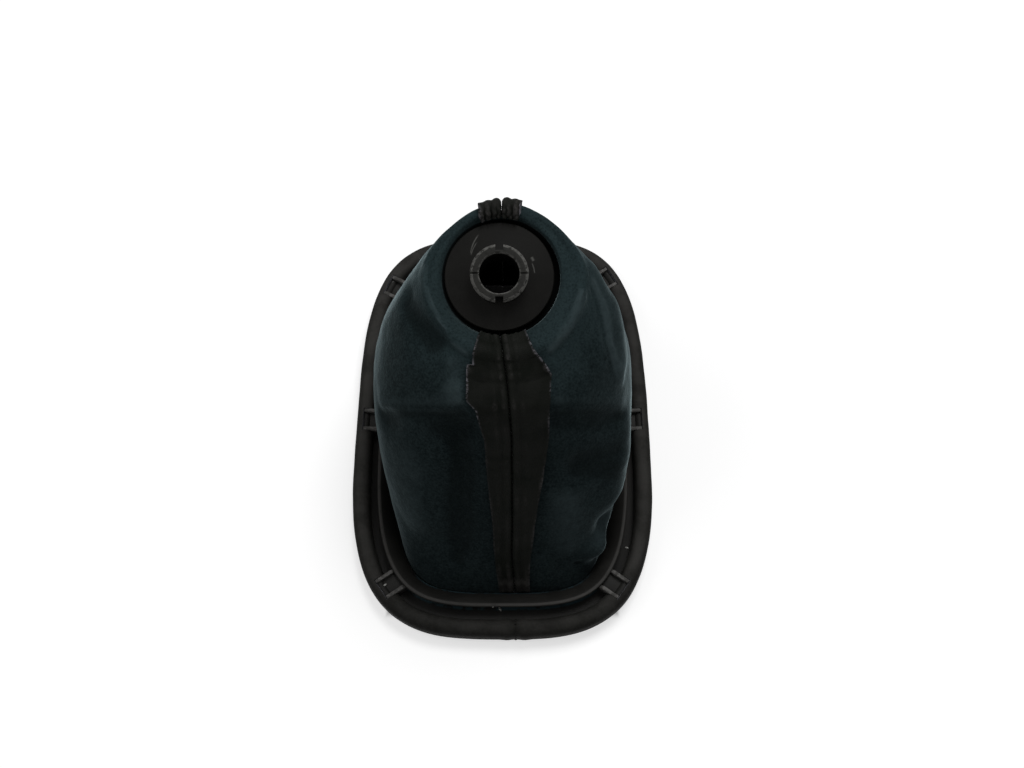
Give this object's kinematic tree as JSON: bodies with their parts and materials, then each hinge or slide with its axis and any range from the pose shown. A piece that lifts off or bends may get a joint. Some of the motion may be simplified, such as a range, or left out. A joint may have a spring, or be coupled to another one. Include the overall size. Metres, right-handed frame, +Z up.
{
  "type": "gear lever gaiter",
  "caption": "Turned-out gear lever gaiter: a tapering leather sleeve with folded-back seam allowances, on a ribbed oblong frame, with a slotted collar at its tip.",
  "frame": {"origin": "middle of the frame, on the surface that the frame stands on", "axes": "+Z up from the frame to the collar, +Y along the frame from the front seam to the rear seam, +X to the right as seen from the front seam"},
  "size_m": [0.1188, 0.1682, 0.1141],
  "materials": {
    "leather": "flesh side out, like suede; the grain side is black",
    "frame_plastic": "satin",
    "collar_plastic": "satin",
    "thread": "twisted thread"
  },
  "bodies": {
    "root": {"frame": "frame_plastic", "leather_panel_left": "leather", "leather_panel_right": "leather", "collar": "collar_plastic", "clamp_ring": "collar_plastic", "front_seam_thread": "thread", "rear_seam_thread": "thread"}
  },
  "joints": []
}
